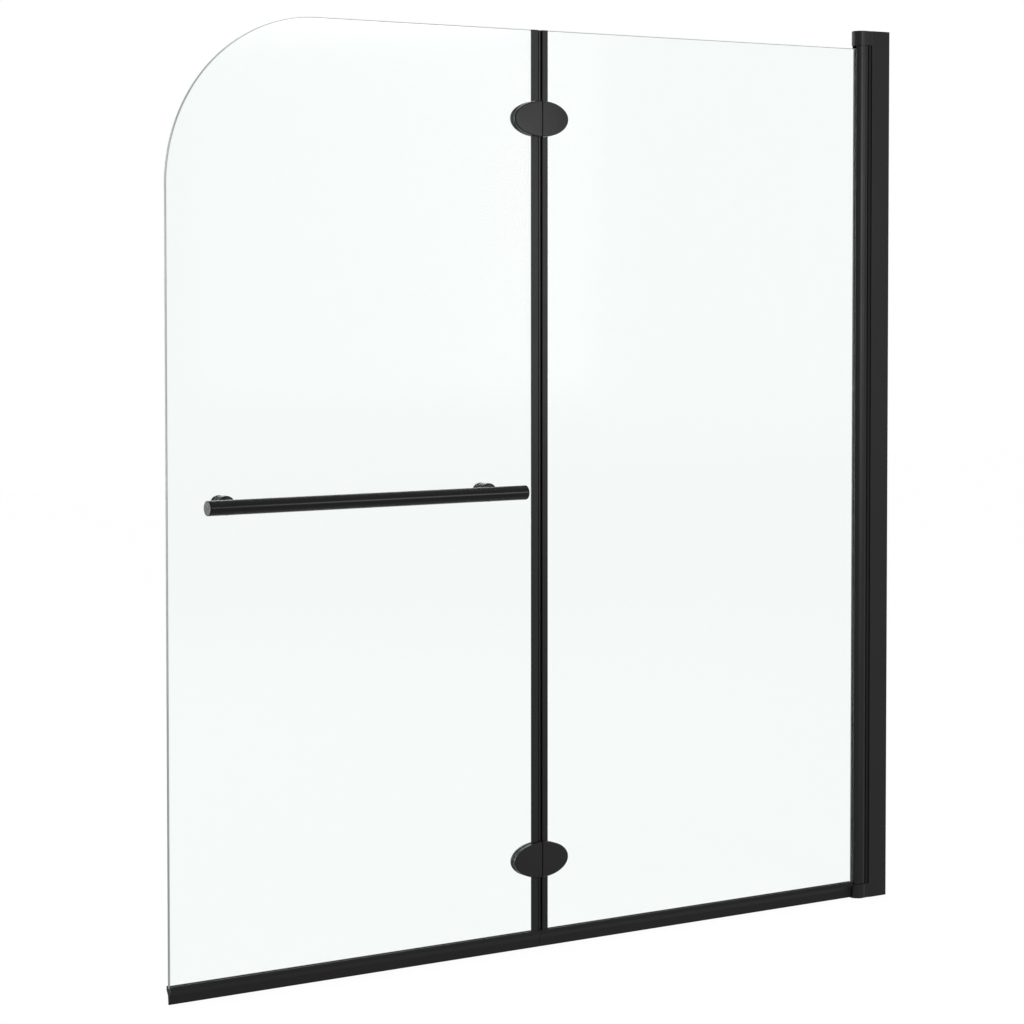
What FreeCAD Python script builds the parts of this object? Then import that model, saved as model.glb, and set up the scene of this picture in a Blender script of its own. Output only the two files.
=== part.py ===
import FreeCAD, Part
import os
from math import cos, radians, sin

# Folding bath screen, millimetres.
# X runs along the screen: the wall is at X = 0 and the free edge at -X.
# -Y is the room side, which carries the towel bar, +Y is the bath side,
# Z is up from the foot of the wall channel.
# A depth is a distance from the middle plane of the glass.

# Overall sizes
screen_width = 1300.0
profile_height = 1402.0
glass_thickness = 6.0
glass_top_setback = 28.5
corner_radius = 240.0
fold_distance = 678.5
fold_axis_depth = 11.0
glass_arris = 0.9

# Wall channel
channel_depth = 36.2
channel_width = 26.0
channel_wall = 1.5
channel_edge_round = 0.6
wall_hole_radius = 2.6
wall_hole_end_distance = 101.0
wall_hole_count = 4

# Expander profile, which slides in the channel
expander_side_clearance = 0.2
expander_wall = 1.5
expander_back_clearance = 2.5
cradle_clearance = 0.5
cradle_wall = 1.6
lip_tip_reach = 6.0
width_travel = 15.0
wiper_radius = 0.6
wiper_clearance = 0.3
wiper_angle = 45.0

# Adjusting screws on the bath side of the channel
adjuster_end_distance = 120.0
adjuster_count = 3
adjuster_mouth_distance = 10.0
adjuster_radius = 2.0
adjuster_slot_clearance = 0.3
adjuster_head_radius = 3.5
adjuster_head_height = 2.2
adjuster_reach = 7.0
adjuster_nut_side = 8.0
adjuster_nut_height = 3.0
nut_clearance = 0.1
cover_radius = 5.5
cover_wall = 0.9
cover_height = 3.4

# Pivot column
column_radius = 13.0
column_mouth_gap = 1.0
column_wall = 1.8
pocket_wall = 1.4
pocket_floor_distance = 6.2
gasket_side = 1.5
gasket_floor = 0.5
gasket_mouth_setback = 1.0

# Pivot caps, pins and plugs
cap_height = 23.0
cap_head_radius = 14.0
cap_edge_bevel = 1.0
cap_shank_clearance = 0.3
cap_shank_back_clearance = 1.7
cap_shank_setback = 0.5
tongue_length = 12.0
tongue_clearance = 0.2
thrust_washer_height = 1.0
thrust_washer_radius = 9.5
column_top_clearance = 0.6
pivot_pin_radius = 3.0
pivot_pin_cap_depth = 13.0
pivot_pin_reach = 17.0
running_fit = 0.05
plug_length = 20.0
plug_clearance = 0.1

# Screws through the caps into ports of the expander
port_radius = 3.2
port_bite = 0.2
port_back_distance = 8.0
port_spacing = 15.0
cap_screw_radius = 1.9
cap_screw_length = 34.0
cap_screw_head_radius = 3.4
cap_screw_head_height = 2.0

# Edge strips and fold seal at the fold
strip_wall = 1.9
strip_web = 1.7
strip_glass_clearance = 0.1
strip_edge_round = 0.5
outer_strip_near = 4.5
outer_strip_far = 16.5
outer_strip_rear = 10.0
inner_strip_near = 3.3
inner_strip_far = 13.1
inner_strip_rear = 11.0
fold_seal_radius = 2.2
fold_seal_bore = 1.2
fold_seal_stem = 1.4
fold_seal_reach = 5.3
strip_foot_gap = 0.2

# Bottom seals
seal_top = 27.0
seal_foot = 1.5
seal_floor = 3.0
seal_half_thickness = 6.5
seal_glass_clearance = 0.1
seal_waist_height = 14.0
seal_waist_half = 2.2
seal_lip_half = 1.1
seal_edge_round = 1.2
outer_seal_fold_gap = 0.3
inner_seal_fold_gap = 0.3
inner_seal_cap_gap = 0.7

# Fold hinges
hinge_half_length = 48.3
hinge_half_height = 26.6
upper_hinge_drop = 131.5
lower_hinge_rise = 110.2
hinge_pad_thickness = 0.5
hinge_pad_inset = 1.0
hinge_face_depth = 10.4
hinge_rear_depth = 8.0
hinge_crown_radius = 900.0
hinge_edge_bevel = 2.2
hinge_rear_bevel = 0.9
hinge_split_gap = 1.6
hinge_notch_clearance = 0.3
knuckle_radius = 5.0
knuckle_gap = 0.5
knuckle_half_height = 22.0
middle_knuckle_half = 7.5
hinge_washer_height = 0.8
hinge_washer_inset = 0.2
hinge_arm_reach = 9.0
hinge_arm_inner_depth = 4.5
hinge_pin_radius = 2.5
hinge_pin_overhang = 1.5
hinge_screw_distance = 22.0
hinge_screw_spread = 11.0
hinge_screw_radius = 2.5
hinge_screw_head_radius = 4.6
hinge_screw_head_height = 2.2
hinge_screw_floor = 1.6
sleeve_radius = 6.0

# Towel bar and its brackets
bar_radius = 10.6
bar_wall = 1.5
bar_free_edge_margin = 37.2
bar_fold_margin = 57.1
bar_depth = 49.0
bar_height = 690.9
bracket_inset = 45.7
bar_plug_face = 1.5
bar_plug_edge = 0.5
bar_plug_spigot = 10.0
bar_plug_clearance = 0.05
bracket_pad_thickness = 0.8
bracket_pad_inset = 1.0
rosette_radius = 13.3
rosette_end_depth = 8.4
waist_radius = 12.7
waist_start_depth = 9.2
waist_end_depth = 10.6
boss_radius = 13.7
boss_start_depth = 11.6
boss_end_depth = 22.0
boss_bevel = 2.0
neck_radius = 6.0
stud_radius = 3.0
stud_hole_radius = 5.0
rear_cap_depth = 8.5
rear_cap_bevel = 1.6
rear_cap_stud_depth = 3.0

# Every cut runs past its faces by this much
overrun = 5.0

# An edge is picked when it lies this near to its named place
edge_tolerance = 0.005

# Places that follow from the sizes
glass_half = glass_thickness / 2
glass_top = profile_height - glass_top_setback
column_x = -(channel_depth + column_mouth_gap + column_radius)
column_foot = cap_height + thrust_washer_height
column_head = profile_height - cap_height - column_top_clearance
fold_x = -fold_distance
free_edge_x = -screen_width
channel_half = channel_width / 2
channel_inner_half = channel_half - channel_wall
expander_half = channel_inner_half - expander_side_clearance
expander_inner_half = expander_half - expander_wall
expander_back_x = -(channel_wall + expander_back_clearance)
port_depth = expander_inner_half - port_radius + port_bite
expander_foot = cap_height
expander_head = profile_height - cap_height
cradle_radius = column_radius + cradle_clearance
pocket_half = glass_half + gasket_side
inner_glass_edge_x = column_x - pocket_floor_distance - gasket_floor
adjuster_x = -(channel_depth - adjuster_mouth_distance)
bar_left_x = free_edge_x + bar_free_edge_margin
bar_right_x = fold_x - bar_fold_margin
upper_hinge_height = glass_top - upper_hinge_drop
lower_hinge_height = column_foot + lower_hinge_rise
hinge_heights = (upper_hinge_height, lower_hinge_height)
plate_start_depth = glass_half + hinge_pad_thickness
up = FreeCAD.Vector(0, 0, 1)
to_bath = FreeCAD.Vector(0, 1, 0)
to_room = FreeCAD.Vector(0, -1, 0)


def point(x, y, z):
    return FreeCAD.Vector(x, y, z)


def block(x_from, x_to, y_from, y_to, z_from, z_to):
    """A box between two corners."""
    corner = point(x_from, y_from, z_from)
    return Part.makeBox(x_to - x_from, y_to - y_from, z_to - z_from, corner)


def upright(radius, x, y, z_from, z_to):
    """A cylinder along Z."""
    return Part.makeCylinder(radius, z_to - z_from, point(x, y, z_from), up)


def across(radius, x, z, y_from, y_to):
    """A cylinder along Y."""
    return Part.makeCylinder(radius, y_to - y_from, point(x, y_from, z), to_bath)


def along(radius, x_from, x_to, y, z):
    """A cylinder along X."""
    axis = FreeCAD.Vector(1, 0, 0)
    return Part.makeCylinder(radius, x_to - x_from, point(x_from, y, z), axis)


def outline_face(points):
    """A flat face inside a closed run of straight lines."""
    return Part.Face(Part.makePolygon(points + [points[0]]))


def fuse_all(shapes):
    result = shapes[0]
    for shape in shapes[1:]:
        result = result.fuse(shape)
    return result.removeSplitter()


def cut_all(shape, tools):
    for tool in tools:
        shape = shape.cut(tool)
    return shape.removeSplitter()


def edges_where(shape, test):
    """The edges whose every end and middle passes the test."""
    chosen = []
    for edge in shape.Edges:
        middle = edge.valueAt((edge.FirstParameter + edge.LastParameter) / 2)
        places = [vertex.Point for vertex in edge.Vertexes] + [middle]
        if all(test(place) for place in places):
            chosen.append(edge)
    return chosen


def near(value, target):
    return abs(value - target) < edge_tolerance


def export(name, solids):
    """Writes one node, made of one solid or of a group of separate ones."""
    shape = solids[0] if len(solids) == 1 else Part.makeCompound(solids)
    shape.exportStep("parts/" + name + ".step")


def even_places(first, last, count):
    """Places from first to last in equal steps."""
    step = (last - first) / (count - 1)
    return [first + step * index for index in range(count)]


# Wall channel and what clamps the expander in it

adjuster_heights = even_places(adjuster_end_distance, profile_height - adjuster_end_distance, adjuster_count)
wall_hole_heights = even_places(wall_hole_end_distance, profile_height - wall_hole_end_distance, wall_hole_count)


def wall_channel():
    """A deep U, screwed to the wall through its web and open away from the wall."""
    body = block(-channel_depth, 0, -channel_half, channel_half, 0, profile_height)
    hollow = block(-channel_depth - overrun, -channel_wall,
                   -channel_inner_half, channel_inner_half, -overrun, profile_height + overrun)
    body = body.cut(hollow)
    mouth = edges_where(body, lambda p: near(p.x, -channel_depth) and near(abs(p.y), channel_half))
    body = body.makeFillet(channel_edge_round, mouth)
    holes = []
    for height in wall_hole_heights:
        holes.append(along(wall_hole_radius, -channel_wall - overrun, overrun, 0, height))
    for height in adjuster_heights:
        holes.append(across(adjuster_radius, adjuster_x, height, channel_inner_half - overrun, channel_half + overrun))
    return cut_all(body, holes)


def adjustment_screw(height):
    """A pan-head screw that clamps the expander from the bath side."""
    shank = across(adjuster_radius, adjuster_x, height, channel_half - adjuster_reach, channel_half)
    head = across(adjuster_head_radius, adjuster_x, height, channel_half, channel_half + adjuster_head_height)
    rim = edges_where(head, lambda p: near(p.y, channel_half + adjuster_head_height))
    return shank.fuse(head.makeChamfer(adjuster_head_height / 2, rim)).removeSplitter()


def adjustment_nut(height):
    """A square nut inside the expander."""
    half = adjuster_nut_side / 2
    y_to = expander_inner_half - nut_clearance
    body = block(adjuster_x - half, adjuster_x + half, y_to - adjuster_nut_height, y_to, height - half, height + half)
    return body.cut(across(adjuster_radius, adjuster_x, height, y_to - adjuster_nut_height - overrun, y_to + overrun))


def screw_cover_cap(height):
    """A thin cup pushed over the screw head."""
    top = channel_half + cover_height
    cup = across(cover_radius, adjuster_x, height, channel_half, top)
    rim = edges_where(cup, lambda p: near(p.y, top))
    cup = cup.makeChamfer(cover_wall, rim)
    return cup.cut(across(cover_radius - cover_wall, adjuster_x, height, channel_half, top - cover_wall))


# Expander, caps and pins: the frame that carries the column

port_xs = (expander_back_x - port_back_distance, expander_back_x - port_back_distance - port_spacing)


def expander_profile():
    """Two flanges that slide in the channel and a hollow cradle round the column."""
    tip_x = column_x + column_radius - lip_tip_reach + column_mouth_gap
    body = block(tip_x, expander_back_x, -expander_half, expander_half, expander_foot, expander_head)
    inside = block(tip_x - overrun, expander_back_x + overrun, -expander_inner_half, expander_inner_half,
                   expander_foot - overrun, expander_head + overrun)
    shell = upright(cradle_radius + cradle_wall, column_x, 0, expander_foot - overrun, expander_head + overrun)
    column_room = upright(cradle_radius, column_x, 0, expander_foot - overrun, expander_head + overrun)
    body = body.cut(inside.cut(shell))
    ports = [upright(port_radius, x, -port_depth, expander_foot, expander_head) for x in port_xs]
    body = body.fuse(ports[0]).fuse(ports[1]).removeSplitter()
    cuts = [column_room]
    for x in port_xs:
        cuts.append(upright(cap_screw_radius, x, -port_depth, expander_foot - overrun, expander_head + overrun))
    slot_half = adjuster_radius + adjuster_slot_clearance
    for z in adjuster_heights:
        slot = block(adjuster_x, adjuster_x + width_travel, 0, expander_half + overrun, z - slot_half, z + slot_half)
        cuts.append(slot)
        cuts.append(across(slot_half, adjuster_x, z, 0, expander_half + overrun))
        cuts.append(across(slot_half, adjuster_x + width_travel, z, 0, expander_half + overrun))
    for wiper in column_wipers():
        cuts.append(wiper)
    return cut_all(body, cuts)


def column_wipers():
    """Two soft round strips in grooves of the cradle, just clear of the column."""
    reach = column_radius + wiper_clearance + wiper_radius
    wipers = []
    for side in (-1, 1):
        x = column_x + reach * cos(radians(wiper_angle))
        y = side * reach * sin(radians(wiper_angle))
        wipers.append(upright(wiper_radius, x, y, expander_foot, expander_head))
    return wipers


def pivot_cap(foot, head, open_end, closed_end):
    """A moulded cap: a round head over the column end and a shank that fills the channel."""
    round_part = upright(cap_head_radius, column_x, 0, foot, head)
    flush_part = block(column_x, -channel_depth, -channel_half, channel_half, foot, head)
    body = fuse_all([round_part, flush_part])
    inside_y = channel_inner_half - cap_shank_clearance
    rim = edges_where(body, lambda p: near(p.z, closed_end) and p.x < -channel_depth - edge_tolerance
                      or near(p.z, closed_end) and near(abs(p.y), channel_half))
    body = body.makeChamfer(cap_edge_bevel, rim)
    shank_x = -(channel_wall + cap_shank_back_clearance)
    inward = 1 if closed_end > open_end else -1
    low, high = sorted((open_end, closed_end - inward * cap_shank_setback))
    shank = block(-channel_depth - cap_edge_bevel, shank_x, -inside_y, inside_y, low, high)
    low, high = sorted((open_end, open_end - inward * tongue_length))
    tongue_half = expander_inner_half - tongue_clearance
    tongue_x = column_x + cradle_radius + cradle_wall + tongue_clearance
    tongue = block(tongue_x, expander_back_x, -port_depth + port_radius + tongue_clearance, tongue_half, low, high)
    body = fuse_all([body, shank, tongue])
    return body


def pivot_caps():
    """The bottom cap and the top cap, each bored for its pin and screws."""
    bottom = pivot_cap(0, cap_height, cap_height, 0)
    top = pivot_cap(profile_height - cap_height, profile_height, profile_height - cap_height, profile_height)
    caps = []
    for body, pin, screws in ((bottom, bottom_pivot_pin(), bottom_cap_screws()), (top, top_pivot_pin(), top_cap_screws())):
        caps.append(cut_all(body, [pin] + screws))
    return caps


def bottom_pivot_pin():
    return upright(pivot_pin_radius, column_x, 0, cap_height - pivot_pin_cap_depth, column_foot + pivot_pin_reach)


def top_pivot_pin():
    cap_foot = profile_height - cap_height
    return upright(pivot_pin_radius, column_x, 0, column_head - pivot_pin_reach, cap_foot + pivot_pin_cap_depth)


def cap_screw(x, outer_z, inward):
    """A countersunk screw from the end of a cap into a port of the expander."""
    direction = FreeCAD.Vector(0, 0, inward)
    place = point(x, -port_depth, outer_z)
    head = Part.makeCone(cap_screw_head_radius, cap_screw_radius, cap_screw_head_height, place, direction)
    shank = Part.makeCylinder(cap_screw_radius, cap_screw_length, place, direction)
    return head.fuse(shank).removeSplitter()


def bottom_cap_screws():
    return [cap_screw(x, cap_shank_setback, 1) for x in port_xs]


def top_cap_screws():
    return [cap_screw(x, profile_height - cap_shank_setback, -1) for x in port_xs]


def bottom_thrust_washer():
    """The washer that the column turns on."""
    ring = upright(thrust_washer_radius, column_x, 0, cap_height, column_foot)
    return ring.cut(upright(pivot_pin_radius, column_x, 0, cap_height - overrun, column_foot + overrun))


# Pivot column

def column_solid():
    """The round column without its glass pocket, hollow behind the pocket walls."""
    tube = upright(column_radius, column_x, 0, column_foot, column_head)
    chamber = upright(column_radius - column_wall, column_x, 0, column_foot - overrun, column_head + overrun)
    box_half = pocket_half + pocket_wall
    box_x = column_x - pocket_floor_distance + pocket_wall
    pocket_box = block(column_x - column_radius, box_x, -box_half, box_half,
                       column_foot - overrun, column_head + overrun)
    return tube.cut(chamber.cut(pocket_box))


def pivot_column():
    """A round extruded column with a pocket that holds the edge of the inner glass."""
    pocket = block(column_x - column_radius - overrun, column_x - pocket_floor_distance,
                   -pocket_half, pocket_half, column_foot - overrun, column_head + overrun)
    return column_solid().cut(pocket).removeSplitter()


def column_gasket():
    """A U of rubber between the inner glass and the pocket."""
    mouth_x = column_x - column_radius + gasket_mouth_setback
    floor_x = column_x - pocket_floor_distance
    body = block(mouth_x, floor_x, -pocket_half, pocket_half, column_foot, glass_top)
    glass = block(mouth_x - overrun, inner_glass_edge_x, -glass_half, glass_half,
                  column_foot - overrun, glass_top + overrun)
    return body.cut(glass)


def pivot_plug(foot, head):
    """A moulded plug in the end of the column, bored for the pivot pin."""
    plug = upright(column_radius - column_wall - plug_clearance, column_x, 0, foot, head)
    box_half = pocket_half + pocket_wall + plug_clearance
    box_x = column_x - pocket_floor_distance + pocket_wall + plug_clearance
    pocket_box = block(column_x - column_radius, box_x, -box_half, box_half, foot - overrun, head + overrun)
    bore = upright(pivot_pin_radius + running_fit, column_x, 0, foot - overrun, head + overrun)
    return cut_all(plug, [pocket_box, bore])


# Glass

def glass_plate(outline):
    """A toughened pane with a ground arris round both faces."""
    face = Part.Face(outline)
    pane = face.extrude(FreeCAD.Vector(0, glass_thickness, 0))
    rims = edges_where(pane, lambda p: near(abs(p.y), glass_half))
    return pane.makeChamfer(glass_arris, rims)


def hinge_screw_places(side):
    """The X and Z of each hinge screw on one leaf: side is -1 for the outer leaf, 1 for the inner."""
    places = []
    for height in hinge_heights:
        for spread in (-hinge_screw_spread, hinge_screw_spread):
            places.append((fold_x + side * hinge_screw_distance, height + spread))
    return places


def bracket_xs():
    return (bar_left_x + bracket_inset, bar_right_x - bracket_inset)


def outer_glass():
    """The outer pane, with its large round top corner."""
    y = -glass_half
    edge_x = fold_x - outer_strip_near - strip_web - strip_glass_clearance
    centre_x = free_edge_x + corner_radius
    centre_z = glass_top - corner_radius
    middle_x = centre_x - corner_radius * cos(radians(45))
    middle_z = centre_z + corner_radius * sin(radians(45))
    arc = Part.Arc(point(free_edge_x, y, centre_z), point(middle_x, y, middle_z), point(centre_x, y, glass_top))
    corners = [point(centre_x, y, glass_top), point(edge_x, y, glass_top), point(edge_x, y, column_foot),
               point(free_edge_x, y, column_foot), point(free_edge_x, y, centre_z)]
    lines = [Part.LineSegment(a, b).toShape() for a, b in zip(corners, corners[1:])]
    pane = glass_plate(Part.Wire([arc.toShape()] + lines))
    holes = [across(sleeve_radius, x, z, -glass_thickness, glass_thickness) for x, z in hinge_screw_places(-1)]
    for x in bracket_xs():
        holes.append(across(stud_hole_radius, x, bar_height, -glass_thickness, glass_thickness))
    return cut_all(pane, holes)


def inner_glass():
    """The inner pane, from the column pocket to the fold."""
    y = -glass_half
    edge_x = fold_x + inner_strip_near + strip_web + strip_glass_clearance
    corners = [point(edge_x, y, column_foot), point(inner_glass_edge_x, y, column_foot),
               point(inner_glass_edge_x, y, glass_top), point(edge_x, y, glass_top)]
    pane = glass_plate(Part.makePolygon(corners + [corners[0]]))
    holes = [across(sleeve_radius, x, z, -glass_thickness, glass_thickness) for x, z in hinge_screw_places(1)]
    return cut_all(pane, holes)


# Edge strips and seals

def hinge_ellipse(height, growth, y_from, y_to):
    """The oval outline of a hinge as a slab between two depths."""
    major = hinge_half_length + growth
    minor = hinge_half_height + growth
    curve = Part.Ellipse(point(major, 0, 0), point(0, minor, 0), point(0, 0, 0))
    halves = [Part.ArcOfEllipse(curve, radians(start), radians(start + 180)).toShape() for start in (-90, 90)]
    face = Part.Face(Part.Wire(halves))
    face.rotate(point(0, 0, 0), FreeCAD.Vector(1, 0, 0), 90)
    face.translate(point(fold_x, y_from, height))
    return face.extrude(FreeCAD.Vector(0, y_to - y_from, 0))


def edge_strip(side, near_face, far_face, rear_face):
    """A strip on the glass edge at the fold, with a wide front and a short rear lip, notched at the hinges."""
    half = glass_half + strip_glass_clearance + strip_wall
    inside_half = glass_half + strip_glass_clearance
    x_a, x_b = sorted((fold_x + side * near_face, fold_x + side * far_face))
    foot = seal_top + strip_foot_gap
    body = block(x_a, x_b, -half, half, foot, glass_top)
    long_edges = edges_where(body, lambda p: near(abs(p.y), half) and (near(p.x, x_a) or near(p.x, x_b)))
    long_edges = [edge for edge in long_edges if edge.Length > strip_wall + far_face]
    body = body.makeFillet(strip_edge_round, long_edges)
    c_a, c_b = sorted((fold_x + side * (near_face + strip_web), fold_x + side * (far_face + overrun)))
    cuts = [block(c_a, c_b, -inside_half, inside_half, foot - overrun, glass_top + overrun)]
    c_a, c_b = sorted((fold_x + side * rear_face, fold_x + side * (far_face + overrun)))
    cuts.append(block(c_a, c_b, 0, half + overrun, foot - overrun, glass_top + overrun))
    for height in hinge_heights:
        cuts.append(hinge_ellipse(height, hinge_notch_clearance, -half - overrun, -inside_half))
        cuts.append(hinge_ellipse(height, hinge_notch_clearance, inside_half, half + overrun))
    return cut_all(body, cuts)


def fold_seal():
    """A hollow bulb on the outer strip that closes the gap at the fold."""
    web_x = fold_x - outer_strip_near
    foot = seal_top + strip_foot_gap
    bulb_x = web_x + fold_seal_reach
    bulb = upright(fold_seal_radius, bulb_x, 0, foot, glass_top)
    stem = block(web_x, bulb_x, -fold_seal_stem / 2, fold_seal_stem / 2, foot, glass_top)
    bore = upright(fold_seal_bore, bulb_x, 0, foot - overrun, glass_top + overrun)
    return fuse_all([bulb, stem]).cut(bore)


def bottom_seal(x_from, x_to):
    """A clip on the foot of the glass that narrows to a thin sealing lip."""
    inside = glass_half + seal_glass_clearance
    floor = column_foot - seal_floor
    right = [(inside, column_foot), (inside, seal_top), (seal_half_thickness, seal_top),
             (seal_half_thickness, floor), (seal_waist_half, seal_waist_height), (seal_lip_half, seal_foot)]
    left = [(-y, z) for y, z in reversed(right)]
    points = [point(x_from, y, z) for y, z in right + left]
    body = outline_face(points).extrude(FreeCAD.Vector(x_to - x_from, 0, 0))
    rounds = edges_where(body, lambda p: near(abs(p.y), seal_half_thickness))
    rounds = [edge for edge in rounds if edge.Length > seal_top]
    return body.makeFillet(seal_edge_round, rounds)


# Fold hinges

def front_plate_pair(height):
    """The oval cover, crowned and bevelled, parted at the fold: outer half, then inner half."""
    slab = hinge_ellipse(height, 0, -hinge_face_depth - overrun, -plate_start_depth)
    centre = point(fold_x, hinge_crown_radius - hinge_face_depth, height)
    crowned = slab.common(Part.makeSphere(hinge_crown_radius, centre))
    rim = []
    for face in crowned.Faces:
        if isinstance(face.Surface, Part.Sphere):
            rim = face.Edges
    crowned = crowned.makeChamfer(hinge_edge_bevel, rim)
    return [crowned.cut(far_side(side, hinge_split_gap / 2, height)) for side in (-1, 1)]


def far_side(side, gap, height):
    """What lies past the fold axis, or nearer to it than the gap, seen from one leaf."""
    reach = hinge_half_length + overrun
    x_a, x_b = sorted((fold_x - side * reach, fold_x + side * gap))
    return block(x_a, x_b, -reach, reach, height - reach, height + reach)


def plate_screw_tools(side, height):
    """The hinge screws of one leaf at one hinge, as the tools that bore for them."""
    return [screw for screw, z in zip(hinge_screws(side), [place[1] for place in hinge_screw_places(side)])
            if abs(z - height) < hinge_half_height]


def hinge_front(side, height):
    half = front_plate_pair(height)[0 if side < 0 else 1]
    return cut_all(half, plate_screw_tools(side, height))


def hinge_rear(side, height):
    """A rear clamp plate with the knuckles of its own leaf."""
    slab = hinge_ellipse(height, 0, plate_start_depth, hinge_rear_depth)
    rim = edges_where(slab, lambda p: near(p.y, hinge_rear_depth))
    slab = slab.makeChamfer(hinge_rear_bevel, rim)
    plate = slab.cut(far_side(side, knuckle_radius + knuckle_gap, height))
    pieces = [plate]
    x_a, x_b = sorted((fold_x, fold_x + side * hinge_arm_reach))
    for low, high in knuckle_spans(side):
        pieces.append(upright(knuckle_radius, fold_x, fold_axis_depth, height + low, height + high))
        pieces.append(block(x_a, x_b, hinge_arm_inner_depth, hinge_rear_depth, height + low, height + high))
    body = fuse_all(pieces)
    bore_radius = hinge_pin_radius + (running_fit if side < 0 else 0)
    bore = upright(bore_radius, fold_x, fold_axis_depth, height - hinge_half_height, height + hinge_half_height)
    return cut_all(body, [bore] + plate_screw_tools(side, height))


def knuckle_spans(side):
    """The outer leaf has two knuckles, the inner leaf the middle one."""
    if side > 0:
        return [(-middle_knuckle_half, middle_knuckle_half)]
    start = middle_knuckle_half + hinge_washer_height
    return [(-knuckle_half_height, -start), (start, knuckle_half_height)]


def hinge_pin(height):
    reach = knuckle_half_height + hinge_pin_overhang
    return upright(hinge_pin_radius, fold_x, fold_axis_depth, height - reach, height + reach)


def hinge_washers():
    """Plain washers between the knuckles."""
    washers = []
    for height in hinge_heights:
        for low in (-middle_knuckle_half - hinge_washer_height, middle_knuckle_half):
            z_from = height + low
            z_to = z_from + hinge_washer_height
            ring = upright(knuckle_radius - hinge_washer_inset, fold_x, fold_axis_depth, z_from, z_to)
            bore = upright(hinge_pin_radius, fold_x, fold_axis_depth, z_from - overrun, z_to + overrun)
            washers.append(ring.cut(bore))
    return washers


def hinge_screws(side):
    """Countersunk screws from the bath side through the glass into the front plates."""
    screws = []
    for x, z in hinge_screw_places(side):
        tip = -(hinge_face_depth - hinge_screw_floor)
        shank = across(hinge_screw_radius, x, z, tip, hinge_rear_depth)
        head = Part.makeCone(hinge_screw_head_radius, hinge_screw_radius, hinge_screw_head_height,
                             point(x, hinge_rear_depth, z), to_room)
        screws.append(shank.fuse(head).removeSplitter())
    return screws


def hinge_sleeves(side):
    """Plastic sleeves that keep the hinge screws off the glass."""
    sleeves = []
    for x, z in hinge_screw_places(side):
        ring = across(sleeve_radius, x, z, -glass_half, glass_half)
        sleeves.append(ring.cut(across(hinge_screw_radius, x, z, -glass_thickness, glass_thickness)))
    return sleeves


def hinge_pads(side):
    """Thin clamping pads between the glass and the hinge plates."""
    near_face = outer_strip_near if side < 0 else inner_strip_near
    glass_edge = near_face + strip_web + strip_glass_clearance + glass_arris
    pads = []
    for height in hinge_heights:
        for y_from in (-plate_start_depth, glass_half):
            y_to = y_from + hinge_pad_thickness
            pad = hinge_ellipse(height, -hinge_pad_inset, y_from, y_to)
            pad = pad.cut(far_side(side, glass_edge, height))
            pads.append(cut_all(pad, plate_screw_tools(side, height)))
    return pads


# Towel bar

def towel_bar():
    """A round tube on the room side."""
    x_a = bar_left_x + bar_plug_face
    x_b = bar_right_x - bar_plug_face
    tube = along(bar_radius, x_a, x_b, -bar_depth, bar_height)
    tube = tube.cut(along(bar_radius - bar_wall, x_a - overrun, x_b + overrun, -bar_depth, bar_height))
    holes = [across(stud_radius, x, bar_height, -bar_depth, -bar_depth + bar_radius + overrun) for x in bracket_xs()]
    return cut_all(tube, holes)


def bar_end_plug(side):
    """A flat plug with a small bevel that closes the tube."""
    end_x = bar_left_x if side < 0 else bar_right_x
    face_x = end_x - side * bar_plug_face
    x_a, x_b = sorted((end_x, face_x))
    disc = along(bar_radius, x_a, x_b, -bar_depth, bar_height)
    disc = disc.makeChamfer(bar_plug_edge, edges_where(disc, lambda p: near(p.x, end_x)))
    x_a, x_b = sorted((face_x, face_x - side * bar_plug_spigot))
    spigot = along(bar_radius - bar_wall - bar_plug_clearance, x_a, x_b, -bar_depth, bar_height)
    return disc.fuse(spigot).removeSplitter()


def bar_bracket(x):
    """A turned post: a rosette, a waist, a round boss and a neck shaped to the tube."""
    start = glass_half + bracket_pad_thickness
    neck_end = bar_depth
    outline = [(0, start), (rosette_radius, start), (rosette_radius, rosette_end_depth),
               (waist_radius, waist_start_depth), (waist_radius, waist_end_depth),
               (boss_radius, boss_start_depth), (boss_radius, boss_end_depth),
               (neck_radius, boss_end_depth), (neck_radius, neck_end), (0, neck_end)]
    face = outline_face([point(x + radius, -depth, bar_height) for radius, depth in outline])
    body = face.revolve(point(x, 0, bar_height), to_bath, 360)
    rim = edges_where(body, lambda p: near(p.y, -boss_end_depth) and
                      near((point(p.x, 0, p.z) - point(x, 0, bar_height)).Length, boss_radius))
    body = body.makeChamfer(boss_bevel, rim)
    tube = along(bar_radius, x - boss_radius - overrun, x + boss_radius + overrun, -bar_depth, bar_height)
    bore = across(stud_radius, x, bar_height, -bar_depth, 0)
    past_tube = block(x - boss_radius, x + boss_radius, -bar_depth - overrun, -bar_depth,
                      bar_height - boss_radius, bar_height + boss_radius)
    return cut_all(body, [tube, bore, past_tube])


def bar_stud(x):
    """A threaded rod from the tube through the glass into the rear cap."""
    tip = -bar_depth + bar_radius - bar_wall
    return across(stud_radius, x, bar_height, tip, glass_half + bracket_pad_thickness + rear_cap_stud_depth)


def bar_rear_cap(x):
    """A low round nut on the bath side of the glass."""
    start = glass_half + bracket_pad_thickness
    cap = across(rosette_radius, x, bar_height, start, rear_cap_depth)
    cap = cap.makeChamfer(rear_cap_bevel, edges_where(cap, lambda p: near(p.y, rear_cap_depth)))
    return cap.cut(across(stud_radius, x, bar_height, start, start + rear_cap_stud_depth))


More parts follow.
